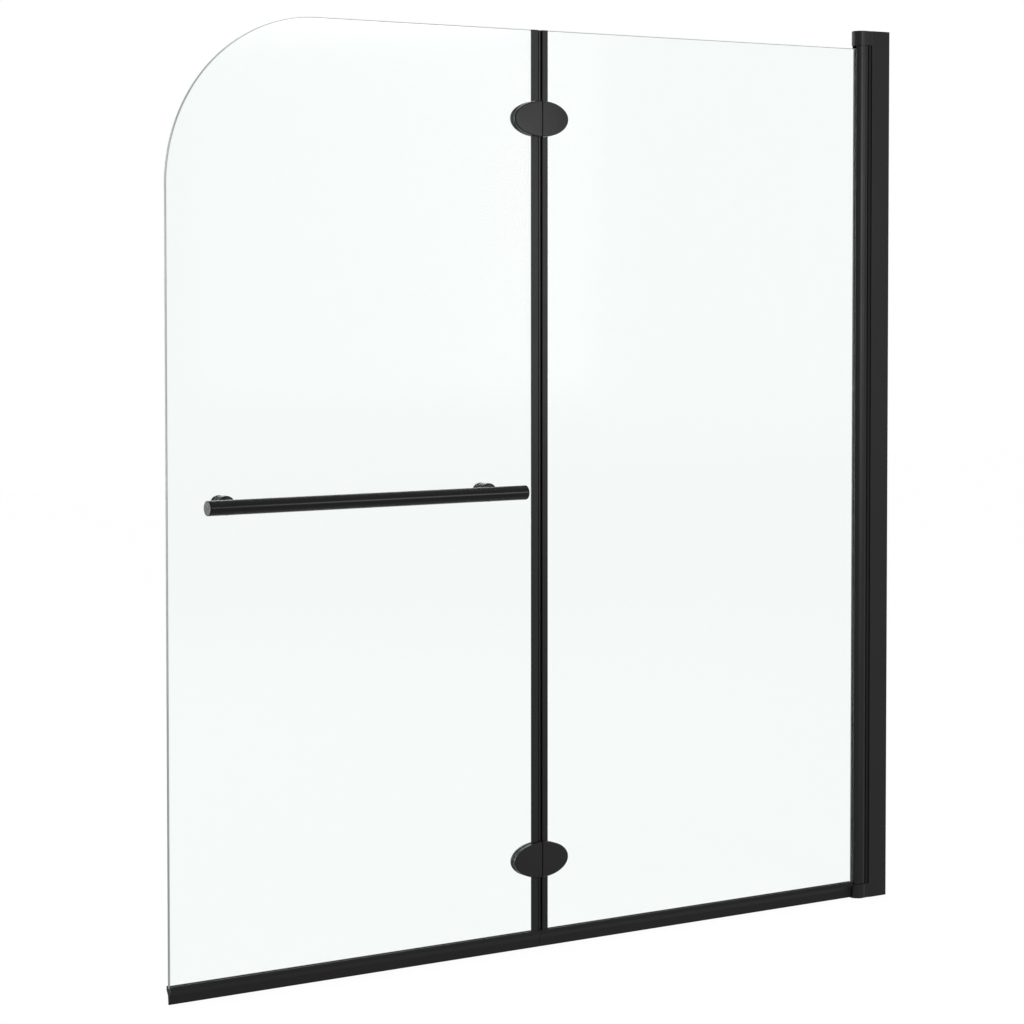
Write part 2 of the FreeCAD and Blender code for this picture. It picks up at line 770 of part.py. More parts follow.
def bar_pads():
    """Washers on both faces of the glass."""
    pads = []
    for x in bracket_xs():
        for y_from in (-glass_half - bracket_pad_thickness, glass_half):
            ring = across(rosette_radius - bracket_pad_inset, x, bar_height, y_from, y_from + bracket_pad_thickness)
            pads.append(ring.cut(across(stud_radius, x, bar_height, y_from - overrun, y_from + overrun)))
    return pads


def bar_sleeves():
    sleeves = []
    for x in bracket_xs():
        ring = across(stud_hole_radius, x, bar_height, -glass_half, glass_half)
        sleeves.append(ring.cut(across(stud_radius, x, bar_height, -glass_thickness, glass_thickness)))
    return sleeves


def main():
    os.makedirs("parts", exist_ok=True)

    export("wall_channel", [wall_channel()])
    export("adjustment_screws", [adjustment_screw(height) for height in adjuster_heights])
    export("adjustment_nuts", [adjustment_nut(height) for height in adjuster_heights])
    export("screw_cover_caps", [screw_cover_cap(height) for height in adjuster_heights])

    bottom_cap, top_cap = pivot_caps()
    export("expander_profile", [expander_profile()])
    export("column_wipers", column_wipers())
    export("bottom_pivot_cap", [bottom_cap])
    export("top_pivot_cap", [top_cap])
    export("bottom_pivot_pin", [bottom_pivot_pin()])
    export("top_pivot_pin", [top_pivot_pin()])
    export("bottom_cap_screws", bottom_cap_screws())
    export("top_cap_screws", top_cap_screws())
    export("bottom_thrust_washer", [bottom_thrust_washer()])

    export("pivot_column", [pivot_column()])
    export("column_gasket", [column_gasket()])
    export("bottom_pivot_plug", [pivot_plug(column_foot, column_foot + plug_length)])
    export("top_pivot_plug", [pivot_plug(column_head - plug_length, column_head)])
    export("inner_glass", [inner_glass()])
    export("outer_glass", [outer_glass()])

    export("inner_edge_strip", [edge_strip(1, inner_strip_near, inner_strip_far, inner_strip_rear)])
    export("outer_edge_strip", [edge_strip(-1, outer_strip_near, outer_strip_far, outer_strip_rear)])
    export("fold_seal", [fold_seal()])
    inner_seal_end = column_x - cap_head_radius - inner_seal_cap_gap
    export("inner_bottom_seal", [bottom_seal(fold_x + inner_seal_fold_gap, inner_seal_end)])
    export("outer_bottom_seal", [bottom_seal(free_edge_x, fold_x - outer_seal_fold_gap)])

    for name, height in (("upper", upper_hinge_height), ("lower", lower_hinge_height)):
        for leaf, side in (("outer", -1), ("inner", 1)):
            export(name + "_hinge_" + leaf + "_front", [hinge_front(side, height)])
            export(name + "_hinge_" + leaf + "_rear", [hinge_rear(side, height)])
        export(name + "_hinge_pin", [hinge_pin(height)])
    for leaf, side in (("outer", -1), ("inner", 1)):
        export(leaf + "_hinge_screws", hinge_screws(side))
        export(leaf + "_hinge_sleeves", hinge_sleeves(side))
        export(leaf + "_hinge_pads", hinge_pads(side))
    export("hinge_washers", hinge_washers())

    left_x, right_x = bracket_xs()
    export("towel_bar", [towel_bar()])
    export("bar_end_plugs", [bar_end_plug(-1), bar_end_plug(1)])
    export("left_bar_bracket", [bar_bracket(left_x)])
    export("right_bar_bracket", [bar_bracket(right_x)])
    export("bar_studs", [bar_stud(x) for x in bracket_xs()])
    export("bar_rear_caps", [bar_rear_cap(x) for x in bracket_xs()])
    export("bar_pads", bar_pads())
    export("bar_sleeves", bar_sleeves())


main()
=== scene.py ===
from math import cos, pi, radians, sin, sqrt, tan

import bmesh
import bpy
from bpy.props import FloatProperty, FloatVectorProperty, PointerProperty
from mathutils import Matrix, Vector


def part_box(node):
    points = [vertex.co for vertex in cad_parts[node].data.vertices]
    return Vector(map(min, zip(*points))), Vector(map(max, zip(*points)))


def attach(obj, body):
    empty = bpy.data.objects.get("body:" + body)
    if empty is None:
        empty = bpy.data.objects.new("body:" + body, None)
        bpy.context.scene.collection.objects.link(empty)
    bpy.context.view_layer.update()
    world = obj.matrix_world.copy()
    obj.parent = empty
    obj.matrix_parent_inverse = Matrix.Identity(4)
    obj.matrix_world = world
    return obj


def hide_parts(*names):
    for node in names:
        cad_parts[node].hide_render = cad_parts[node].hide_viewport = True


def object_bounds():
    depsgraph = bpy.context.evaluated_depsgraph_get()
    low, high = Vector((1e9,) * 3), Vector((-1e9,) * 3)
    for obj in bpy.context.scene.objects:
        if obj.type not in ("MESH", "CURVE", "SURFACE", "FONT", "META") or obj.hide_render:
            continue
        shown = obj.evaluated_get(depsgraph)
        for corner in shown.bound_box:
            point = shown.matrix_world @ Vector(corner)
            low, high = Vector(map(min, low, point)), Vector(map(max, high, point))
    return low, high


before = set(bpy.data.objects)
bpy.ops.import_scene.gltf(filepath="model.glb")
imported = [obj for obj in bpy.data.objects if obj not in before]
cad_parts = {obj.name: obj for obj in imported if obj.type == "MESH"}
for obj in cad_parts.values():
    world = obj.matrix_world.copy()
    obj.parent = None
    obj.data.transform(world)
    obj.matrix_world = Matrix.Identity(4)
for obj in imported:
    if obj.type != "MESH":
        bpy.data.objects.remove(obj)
cad_bounds = [list(corner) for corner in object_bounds()]

bl_info = {
    "name": "Folding bath screen",
    "version": (1, 0, 0),
    "blender": (4, 5, 0),
    "location": "3D View > Sidebar > Bath Screen",
    "description": "Dresses a packed two-leaf folding bath screen with finishes, glass, covers and a bar",
    "category": "Object",
}

# Lengths are in metres. X is 0 at the wall and falls toward the free edge, and -Y is the room side.
MM = 0.001
TO_ROOM = Vector((0, -1, 0))
TO_BATH = Vector((0, 1, 0))
UP = Vector((0, 0, 1))
AWAY_FROM_WALL = Vector((-1, 0, 0))

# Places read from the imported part
glass_low, glass_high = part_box("outer_glass")
inner_glass_low, inner_glass_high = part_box("inner_glass")
cover_low = {name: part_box(name + "_hinge_outer_front")[0] for name in ("upper", "lower")}
cover_high = {name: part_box(name + "_hinge_inner_front")[1] for name in ("upper", "lower")}
parting_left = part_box("upper_hinge_outer_front")[1].x
parting_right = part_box("upper_hinge_inner_front")[0].x
fold_x = (parting_left + parting_right) / 2
hinge_heights = {name: (cover_low[name].z + cover_high[name].z) / 2 for name in cover_low}
bar_low, bar_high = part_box("towel_bar")
plug_low, plug_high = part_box("bar_end_plugs")
bar_y = (bar_low.y + bar_high.y) / 2
bar_z = (bar_low.z + bar_high.z) / 2
bracket_x = {side: sum(corner.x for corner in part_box(side + "_bar_bracket")) / 2
             for side in ("left", "right")}
cover_cap_low, cover_cap_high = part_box("screw_cover_caps")

# Points in a full turn of each kind of round, and steps in the glass corner's quarter turn
SMOOTH_TURN = 96
SCREW_TURN = 48
CAP_TURN = 64
OVAL_TURN = 128
CORNER_STEPS = 72

# Small gaps that keep the drawn faces clear of the faces of other pieces
GLASS_RELIEF = 0.05 * MM
TUBE_RELIEF = 0.02 * MM
SADDLE_RELIEF = 0.05 * MM
PLUG_RELIEF = 0.05 * MM

# Hinge covers
COVER_EDGE_BREAK = 0.3 * MM
COVER_EDGE_ROUND = 0.4 * MM
CROWN_SHARES = (0.9, 0.7, 0.45, 0.2, 0.02)

# Countersunk screws: socket, rim and tip, and then the sizes of each kind
SOCKET_EDGE = 0.25 * MM
SOCKET_EDGE_DEPTH = 0.15 * MM
SOCKET_DEPTH_SHARE = 0.9
HEAD_RIM = 0.2 * MM
TIP_LENGTH = 0.5 * MM
TIP_TAPER = 0.4 * MM
HINGE_SCREW_HEAD = 4.45 * MM
HINGE_SCREW_SHANK = 2.5 * MM
HINGE_SCREW_HEAD_HEIGHT = 2.2 * MM
HINGE_SCREW_KEY = 3 * MM
HINGE_SCREW_SETBACK = 0.15 * MM
CAP_SCREW_SHANK = 1.9 * MM
CAP_SCREW_HEAD_HEIGHT = 2 * MM
CAP_SCREW_KEY = 2.5 * MM
CAP_SCREW_SETBACK = 0.1 * MM
CAP_SCREW_HEAD_RELIEF = 0.1 * MM

# Towel bar and its end plugs
MERGE_DISTANCE = 0.001 * MM
TUBE_EDGE_BREAK = 0.2 * MM
SPIGOT_CLEARANCE = 0.1 * MM
SPIGOT_LENGTH = 10 * MM
PLUG_LAND = 0.3 * MM
PLUG_FACE_MARGIN = 1.2 * MM
PLUG_FACE_CENTRE = 1 * MM

# Posts of the bar: distances of their shoulders from the middle of the glass, and the rounds of their corners
ROSETTE_EDGE = 0.4 * MM
ROSETTE_END = 8.4 * MM
ROSETTE_ROUND = 0.5 * MM
WAIST_START = 9.2 * MM
WAIST_END = 10.6 * MM
WAIST_ROUND = 0.3 * MM
BOSS_START = 11.6 * MM
BOSS_START_ROUND = 0.6 * MM
BOSS_END = 22 * MM
BOSS_END_ROUND = 2.4 * MM
NECK_RADIUS = 6 * MM
NECK_ROUND = 1.2 * MM
NECK_SADDLE = 28 * MM

# Nuts behind the glass
NUT_EDGE = 0.3 * MM
NUT_ROUND = 1.8 * MM
NUT_ROUND_STEPS = 7
NUT_KEY_RADIUS = 2.5 * MM
NUT_KEY_RIM = 3.4 * MM
NUT_KEY_DEPTH = 2 * MM

# Cover caps on the bath side of the channel
COVER_CAP_WALL = 0.9 * MM
COVER_CAP_CENTRE = 0.5 * MM
COVER_CAP_SHOULDER = 0.75
COVER_CAP_SHOULDER_ROUND = 0.5 * MM
COVER_CAP_CROWN = 0.72
COVER_CAP_CROWN_ROUND = 2 * MM
COVER_CAP_ROUND_STEPS = 6

# Stage: strengths of the white surround and floor, and the floor's half width
SEEN_STRENGTH = 1.0
LIGHT_STRENGTH = 0.8
FLOOR_GLOW = 0.946
FLOOR_SHARE = 0.06
FLOOR_REACH = 9.0

# Lamps: name, place, width, height and power in watts. All face the middle of the screen.
SOFTBOXES = (
    ("front_softbox", (-0.9, -3.8, 1.3), 1.1, 1.4, 54),
    ("right_softbox", (1.36, -3.7, 1.2), 1.2, 1.1, 24),
    ("rear_left_softbox", (-2.4, 2.9, 1.15), 1.8, 2.1, 38),
    ("rear_softbox", (0.6, 3.4, 2.4), 1.8, 1.4, 16),
)
LAMP_TARGET = Vector((-0.65, 0, 0.75))

# Camera, solved from the straight edges and the round corner in the photograph, with its angles in degrees
CAMERA_PLACE = (-3.10449, -3.51879, 1.00392)
CAMERA_DOWN = 2.196
CAMERA_ROLL = 0.025
CAMERA_YAW = -34.049
CAMERA_LENS = 100.735
CAMERA_SHIFT = -0.12
CAMERA_SENSOR = 36.0
CAMERA_NEAR = 0.1
CAMERA_FAR = 60.0


def linear(hex_colour):
    """Turns an sRGB hex colour into the linear red, green and blue that Blender uses."""
    shares = [int(hex_colour[start:start + 2], 16) / 255 for start in (1, 3, 5)]
    return tuple(share / 12.92 if share <= 0.04045 else ((share + 0.055) / 1.055) ** 2.4 for share in shares)


def length(name, description, default):
    return FloatProperty(name=name, description=description, default=default, min=0, unit="LENGTH")


def colour(name, description, hex_colour):
    return FloatVectorProperty(name=name, description=description, default=linear(hex_colour),
                               size=3, min=0, max=1, subtype="COLOR")


class ScreenSizes(bpy.types.PropertyGroup):
    glass_arris: length("Glass arris", "Width of the ground bevel round each pane", 0.9 * MM)
    corner_radius: length("Corner radius", "Radius of the outer pane's top corner", 240 * MM)
    screw_hole_radius: length("Hinge hole radius", "Holes in the glass for the hinge screws", 6 * MM)
    stud_hole_radius: length("Stud hole radius", "Holes in the glass for the towel bar", 5 * MM)
    hinge_crown_radius: length("Hinge crown", "Radius of the slight crown of the hinge covers", 900 * MM)
    hinge_bevel: length("Hinge bevel", "Bevel round the hinge covers", 1.4 * MM)
    hinge_screw_distance: length("Hinge screw distance", "From the fold to the hinge screws", 22 * MM)
    hinge_screw_spread: length("Hinge screw spread", "From a hinge's middle to its screws", 11 * MM)
    bar_wall: length("Bar wall", "Wall of the towel bar's tube", 1.5 * MM)
    waist_depth: length("Waist depth", "Depth of the groove round the bar's posts", 0.8 * MM)
    bar_end_round: length("Bar end", "Rounding of the end plugs", 0.7 * MM)


class ScreenColours(bpy.types.PropertyGroup):
    powder_coat: colour("Powder coat", "Channel and column", "#0C0C0D")
    # Painted shade: the expander is coloured darker than the powder coat so that the groove between column
    # and channel reads dark.
    anodised: colour("Groove shade", "Expander inside the channel", "#0A0A0A")
    nylon: colour("Nylon", "Pivot caps, plugs and cover caps", "#0D0D0E")
    rubber: colour("Rubber", "Edge strips, fold seal and wipers", "#0C0C0D")
    seal: colour("Bottom seals", "Soft seals under the panes", "#121213")
    # Painted light: the gasket's grey stands in for the column's lit left rim over the shaded mouth of the
    # glass pocket.
    gasket: colour("Gasket", "Round the glass in the column", "#484B4B")
    # Painted light: the pads' pale grey stands in for the hinge covers' lit flank seen through the glass.
    pad: colour("Clamping pads", "Soft pads between metal and glass", "#6E7272")
    hinge_coat: colour("Hinge coat", "Hinge covers and rear plates", "#0E0E0F")
    bar_coat: colour("Bar coat", "Towel bar and its brackets", "#080809")
    steel: colour("Steel", "Screws and pins", "#B9B9B6")
    glass: colour("Glass", "Clear float glass seen face on", "#F5F9F8")
    glass_edge: colour("Glass edge", "The ground edge of the panes", "#9AA5A1")
    background: colour("Background", "Floor and backdrop", "#FFFFFF")


# Mesh helpers

def ring(origin, axis, radius, distance, count, shape=None):
    """Points round an axis. A shape changes the radius with the angle, as for a key socket."""
    side = UP.cross(axis) if abs(axis.z) < 0.5 else Vector((1, 0, 0))
    other = axis.cross(side)
    points = []
    for step in range(count):
        angle = 2 * pi * step / count
        reach = shape(angle) * radius if shape else radius
        points.append(origin + axis * distance + (side * cos(angle) + other * sin(angle)) * reach)
    return points


def hexagon(angle):
    """The reach of a hexagon with an across-flats radius of one."""
    return 1 / cos((angle % (pi / 3)) - pi / 6)


def round_corners(points, steps=5):
    """A line whose corners with a third value, a radius, become arcs."""
    result = []
    for index, corner in enumerate(points):
        here = Vector(corner[:2])
        if len(corner) < 3:
            result.append(here)
            continue
        before = (Vector(points[index - 1][:2]) - here).normalized()
        after = (Vector(points[(index + 1) % len(points)][:2]) - here).normalized()
        half = before.angle(after) / 2
        start = here + before * (corner[2] / tan(half))
        end = here + after * (corner[2] / tan(half))
        centre = here + (before + after).normalized() * (corner[2] / sin(half))
        for step in range(steps + 1):
            share = step / steps
            arm = (start - centre) * (1 - share) + (end - centre) * share
            result.append(centre + arm.normalized() * corner[2])
    return result


def add_shell(bm, rings, capped=True):
    """Joins rings of equal counts into a skin, closed by flat ends. Returns its faces."""
    rows = [[bm.verts.new(point) for point in points] for points in rings]
    faces = []
    for low, high in zip(rows, rows[1:]):
        for index in range(len(low)):
            after = (index + 1) % len(low)
            faces.append(bm.faces.new((low[index], low[after], high[after], high[index])))
    if capped:
        faces.append(bm.faces.new(list(reversed(rows[0]))))
        faces.append(bm.faces.new(rows[-1]))
    return faces


def add_turned(bm, origin, axis, profile, count, shapes=None):
    """A turned form from pairs of radius and distance, with a shape for any ring that isn't round."""
    shapes = shapes or {}
    return add_shell(bm, [ring(origin, axis, radius, distance, count, shapes.get(index))
                          for index, (radius, distance) in enumerate(profile)])


def make_piece(name, bm, body, slot, node, rim=None, crease=30):
    """Turns the mesh into a piece that rides on a body in place of a CAD node. A rim is a second finish."""
    bmesh.ops.recalc_face_normals(bm, faces=bm.faces)
    mesh = bpy.data.meshes.new(name)
    bm.to_mesh(mesh)
    bm.free()
    mesh.shade_smooth()
    mesh.set_sharp_from_angle(angle=radians(crease))
    mesh.materials.append(finish(slot))
    if rim:
        mesh.materials.append(finish(rim))
    piece = bpy.data.objects.new(name, mesh)
    bpy.context.scene.collection.objects.link(piece)
    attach(piece, body)
    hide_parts(node)
    return piece


def soften(piece, width):
    """Rounds the sharp edges of a piece a little."""
    modifier = piece.modifiers.new("edge_round", "BEVEL")
    modifier.width = width
    modifier.segments = 3
    modifier.limit_method = "ANGLE"
    modifier.angle_limit = radians(30)
    modifier.harden_normals = True


# Materials

def add_node(tree, kind, inputs=None, **settings):
    """Adds a node, sets its properties, and fills or links its inputs."""
    node = tree.nodes.new(kind)
    for name, value in settings.items():
        setattr(node, name, value)
    for name, value in (inputs or {}).items():
        if isinstance(value, bpy.types.NodeSocket):
            tree.links.new(value, node.inputs[name])
        else:
            node.inputs[name].default_value = value
    return node


def start_material(name, base, roughness, specular, metallic=0.0):
    """An empty node tree with one principled shader that carries the plain settings."""
    material = bpy.data.materials.new(name)
    material.use_nodes = True
    tree = material.node_tree
    tree.nodes.clear()
    shader = add_node(tree, "ShaderNodeBsdfPrincipled", {
        "Base Color": (*base, 1), "Roughness": roughness, "Specular IOR Level": specular,
        "Metallic": metallic})
    add_node(tree, "ShaderNodeOutputMaterial", {"Surface": shader.outputs["BSDF"]})
    return material, tree, shader


def add_texture(tree, shader, base, grain, depth, stretch, patch, tone, roughness):
    """Gives a surface its grain as a bump, and broad soft patches of tone and gloss."""
    place = add_node(tree, "ShaderNodeTexCoord")
    scaled = add_node(tree, "ShaderNodeMapping", {"Vector": place.outputs["Object"], "Scale": stretch})
    fine = add_node(tree, "ShaderNodeTexNoise", {
        "Vector": scaled.outputs["Vector"], "Scale": 1 / grain, "Detail": 2.0, "Roughness": 0.55})
    broad = add_node(tree, "ShaderNodeTexNoise", {
        "Vector": scaled.outputs["Vector"], "Scale": 1 / patch, "Detail": 3.0})
    bump = add_node(tree, "ShaderNodeBump", {
        "Height": fine.outputs["Fac"], "Strength": 0.6, "Distance": depth})
    tree.links.new(bump.outputs["Normal"], shader.inputs["Normal"])
    gloss = add_node(tree, "ShaderNodeMapRange", {
        "Value": broad.outputs["Fac"], "From Min": 0.3, "From Max": 0.7,
        "To Min": roughness[0], "To Max": roughness[1]})
    tree.links.new(gloss.outputs["Result"], shader.inputs["Roughness"])
    speck = add_node(tree, "ShaderNodeMath", {
        0: broad.outputs["Fac"], 1: fine.outputs["Fac"]}, operation="MULTIPLY")
    lighter = tuple(channel * (1 + tone * 2) for channel in base)
    tint = add_node(tree, "ShaderNodeMix", {
        0: speck.outputs["Value"], 6: (*base, 1), 7: (*lighter, 1)}, data_type="RGBA")
    tree.links.new(tint.outputs[2], shader.inputs["Base Color"])


def powder_coated_aluminium(colours):
    """Extruded aluminium under oven-cured polyester powder: satin black, with a shallow orange peel."""
    base = colours.powder_coat
    material, tree, shader = start_material("powder_coated_aluminium", base, 0.34, 0.2)
    # Orange peel has waves about 2 mm long and 0.03 mm deep, and the gloss wanders along the profile
    add_texture(tree, shader, base, 2 * MM, 0.03 * MM, (1, 1, 0.6), 80 * MM, 0.2, (0.31, 0.37))
    return material


def groove_shade_aluminium(colours):
    """Extruded aluminium in a dull deep black for the profile inside the channel: painted shade, darker and
    duller than the powder coat so that the gap between column and channel reads as one dark groove.
    """
    base = colours.anodised
    material, tree, shader = start_material("groove_shade_aluminium", base, 0.44, 0.13)
    # Die lines run up the profile, 0.6 mm apart and drawn at 1.2 mm so that they show
    add_texture(tree, shader, base, 1.2 * MM, 0.01 * MM, (1, 1, 0.05), 80 * MM, 0.2, (0.4, 0.48))
    return material


def moulded_nylon(colours):
    """Glass-filled nylon from a spark-eroded mould: satin black, with a fine even grain."""
    base = colours.nylon
    material, tree, shader = start_material("moulded_nylon", base, 0.36, 0.2)
    # The eroded grain is near 0.4 mm, drawn at 0.8 mm so that it shows
    add_texture(tree, shader, base, 0.8 * MM, 0.015 * MM, (1, 1, 1), 30 * MM, 0.3, (0.33, 0.4))
    return material


def extruded_soft_pvc(colours):
    """Black PVC drawn through a polished die: a soft sheen, with faint draw lines along its length."""
    base = colours.rubber
    material, tree, shader = start_material("extruded_soft_pvc", base, 0.3, 0.27)
    # Draw lines are about 1 mm apart and many centimetres long
    add_texture(tree, shader, base, 1 * MM, 0.015 * MM, (0.06, 1, 0.06), 90 * MM, 0.25, (0.26, 0.33))
    return material


def matt_seal_pvc(colours):
    """Soft PVC drawn through a rough die: a dull black that shows the seal's taper only faintly."""
    base = colours.seal
    material, tree, shader = start_material("matt_seal_pvc", base, 0.5, 0.14)
    # Draw lines run along the seal, 1 mm apart
    add_texture(tree, shader, base, 1 * MM, 0.015 * MM, (0.06, 1, 1), 90 * MM, 0.2, (0.46, 0.54))
    return material


def coated_zinc_casting(colours):
    """Die-cast zinc, tumbled and black coated: smooth satin, a little livelier than the profiles."""
    base = colours.hinge_coat
    material, tree, shader = start_material("coated_zinc_casting", base, 0.32, 0.21)
    # A casting's skin rolls gently every 6 mm or so
    add_texture(tree, shader, base, 6 * MM, 0.05 * MM, (1, 1, 1), 40 * MM, 0.25, (0.3, 0.35))
    return material


def painted_steel_tube(colours):
    """Drawn steel tube, painted satin black, with polishing lines along it that the paint nearly hides."""
    base = colours.bar_coat
    material, tree, shader = start_material("painted_steel_tube", base, 0.2, 0.15)
    # Polishing lines are 0.5 mm apart and drawn at 1.2 mm so that they show
    add_texture(tree, shader, base, 1.2 * MM, 0.012 * MM, (0.05, 1, 1), 60 * MM, 0.3, (0.18, 0.23))
    return material


def turned_stainless(colours):
    """Stainless steel from a lathe: a bright metal with fine tool marks."""
    base = colours.steel
    material, tree, shader = start_material("turned_stainless", base, 0.3, 0.5, 1.0)
    # Tool marks are 0.2 mm apart and drawn at 0.5 mm so that they show
    add_texture(tree, shader, base, 0.5 * MM, 0.01 * MM, (1, 1, 1), 8 * MM, -0.1, (0.25, 0.4))
    return material


def let_lamps_through(tree, shader, share):
    """Lets most of the lamps' light through glass, so that it casts only a pale shadow."""
    rays = add_node(tree, "ShaderNodeLightPath")
    clear = add_node(tree, "ShaderNodeBsdfTransparent", {"Color": (share, share, share, 1)})
    mixed = add_node(tree, "ShaderNodeMixShader", {
        0: rays.outputs["Is Shadow Ray"], 1: shader.outputs["BSDF"], 2: clear.outputs["BSDF"]})
    output = next(node for node in tree.nodes if node.type == "OUTPUT_MATERIAL")
    tree.links.new(mixed.outputs["Shader"], output.inputs["Surface"])


def toughened_float_glass(colours):
    """Six millimetre float glass, fire polished: clear, with iron's faint green and nearly flat faces."""
    base = colours.glass
    material, tree, shader = start_material("toughened_float_glass", base, 0.08, 0.2)
    # The dark tint and the slight roughness keep mirror images in the faces faint and soft
    shader.inputs["Specular Tint"].default_value = (0.02, 0.02, 0.02, 1)
    shader.inputs["Transmission Weight"].default_value = 1.0
    shader.inputs["IOR"].default_value = 1.5
    # Toughening rollers leave waves some 150 mm long and a few thousandths of a millimetre deep
    place = add_node(tree, "ShaderNodeTexCoord")
    wave = add_node(tree, "ShaderNodeTexNoise", {
        "Vector": place.outputs["Object"], "Scale": 1 / (150 * MM), "Detail": 1.0})
    bump = add_node(tree, "ShaderNodeBump", {
        "Height": wave.outputs["Fac"], "Strength": 0.2, "Distance": 0.02 * MM})
    tree.links.new(bump.outputs["Normal"], shader.inputs["Normal"])
    let_lamps_through(tree, shader, 0.9)
    return material


def ground_glass_edge(colours):
    """The pane's edge after grinding: a frosted grey green band."""
    base = colours.glass_edge
    material, tree, shader = start_material("ground_glass_edge", base, 0.35, 0.5)
    shader.inputs["Transmission Weight"].default_value = 0.25
    shader.inputs["IOR"].default_value = 1.5
    # Grinding marks run along the edge, 0.8 mm apart
    add_texture(tree, shader, base, 0.8 * MM, 0.01 * MM, (1, 1, 1), 120 * MM, 0.08, (0.3, 0.42))
    let_lamps_through(tree, shader, 0.7)
    return material


def soft_clamping_pad(colours):
    """Polyurethane sheet, dull, and lit softly through the glass that it clamps. Its pale grey is partly
    painted light: it stands in for the lit flank of the hinge covers seen through the glass.
    """
    base = colours.pad
    material, tree, shader = start_material("soft_clamping_pad", base, 0.5, 0.4)
    # Calendered sheet has a leathery skin of about 1.5 mm
    add_texture(tree, shader, base, 1.5 * MM, 0.02 * MM, (1, 1, 1), 25 * MM, 0.15, (0.45, 0.55))
    return material


def soft_glazing_gasket(colours):
    """Dark grey rubber channel round the glass's edge in the column. Its grey is partly painted light:
    lighter than black rubber, it stands in for the lit left rim of the column where the pocket's mouth lies
    in shade.
    """
    base = colours.gasket
    material, tree, shader = start_material("soft_glazing_gasket", base, 0.5, 0.3)
    # Draw lines run up the gasket, 1 mm apart
    add_texture(tree, shader, base, 1 * MM, 0.015 * MM, (1, 1, 0.06), 60 * MM, 0.15, (0.45, 0.55))
    return material


FINISHES = {
    "black_powder_coat": powder_coated_aluminium,
    "black_nylon": moulded_nylon,
    "black_rubber": extruded_soft_pvc,
    "black_hinge_metal": coated_zinc_casting,
    "black_bar_metal": painted_steel_tube,
    "stainless_steel": turned_stainless,
    "clear_glass": toughened_float_glass,
    "ground_edge": ground_glass_edge,
    "pad_painted_flank_light": soft_clamping_pad,
    "gasket_painted_rim_light": soft_glazing_gasket,
    "anodised": groove_shade_aluminium,
    "matt_seal": matt_seal_pvc,
}
OWN_FINISHES = {"outer_hinge_pads": "pad_painted_flank_light", "inner_hinge_pads": "pad_painted_flank_light", "bar_pads": "pad_painted_flank_light",
                "column_gasket": "gasket_painted_rim_light", "expander_profile": "anodised",
                "outer_bottom_seal": "matt_seal", "inner_bottom_seal": "matt_seal"}


def finish(slot):
    """The material of a slot, made once."""
    maker = FINISHES[slot]
    known = bpy.data.materials.get(maker.__name__)
    return known or maker(bpy.context.scene.screen_colours)


# Glass

def outer_outline(sizes, inset):
    """The outer pane's outline in X and Z, drawn in by an inset."""
    radius = sizes.corner_radius - inset
    centre_x = glass_low.x + sizes.corner_radius
    centre_z = glass_high.z - sizes.corner_radius
    points = [(glass_high.x - inset, glass_high.z - inset), (glass_high.x - inset, glass_low.z + inset),
              (glass_low.x + inset, glass_low.z + inset)]
    for step in range(CORNER_STEPS + 1):
        angle = pi - pi / 2 * step / CORNER_STEPS
        points.append((centre_x + radius * cos(angle), centre_z + radius * sin(angle)))
    return points


def inner_outline(sizes, inset):
    """The inner pane's outline in X and Z, drawn in by an inset."""
    low_x, high_x = inner_glass_low.x + inset, inner_glass_high.x - inset
    low_z, high_z = inner_glass_low.z + inset, inner_glass_high.z - inset
    return [(high_x, high_z), (high_x, low_z), (low_x, low_z), (low_x, high_z)]


def glass_pane(name, outline, holes, sizes, body, node):
    """A pane with ground edges and bored holes: polished faces and a frosted rim."""
    bm = bmesh.new()
    half = glass_high.y - GLASS_RELIEF
    arris = sizes.glass_arris
    levels = [(arris, -half), (0, -half + arris), (0, half - arris), (arris, half)]
    rim = add_shell(bm, [[Vector((x, y, z)) for x, z in outline(sizes, inset)] for inset, y in levels], False)
    for x, z, radius in holes:
        bore = [ring(Vector((x, 0, z)), TO_BATH, radius + inset, y, SCREW_TURN) for inset, y in levels]
        rim += add_shell(bm, bore, False)
    for y in (-half, half):
        edges = [edge for edge in bm.edges if edge.is_boundary and abs(edge.verts[0].co.y - y) < arris / 2]
        bmesh.ops.triangle_fill(bm, edges=edges, use_beauty=True, use_dissolve=False)
    for face in rim:
        face.material_index = 1
    make_piece(name, bm, body, "clear_glass", node, rim="ground_edge")


def hinge_screw_places(sizes, side):
    """X and Z of the hinge screws of one leaf: side is -1 for the outer leaf, 1 for the inner."""
    return [(fold_x + side * sizes.hinge_screw_distance, height + spread * sizes.hinge_screw_spread)
            for height in hinge_heights.values() for spread in (-1, 1)]


# Hinges

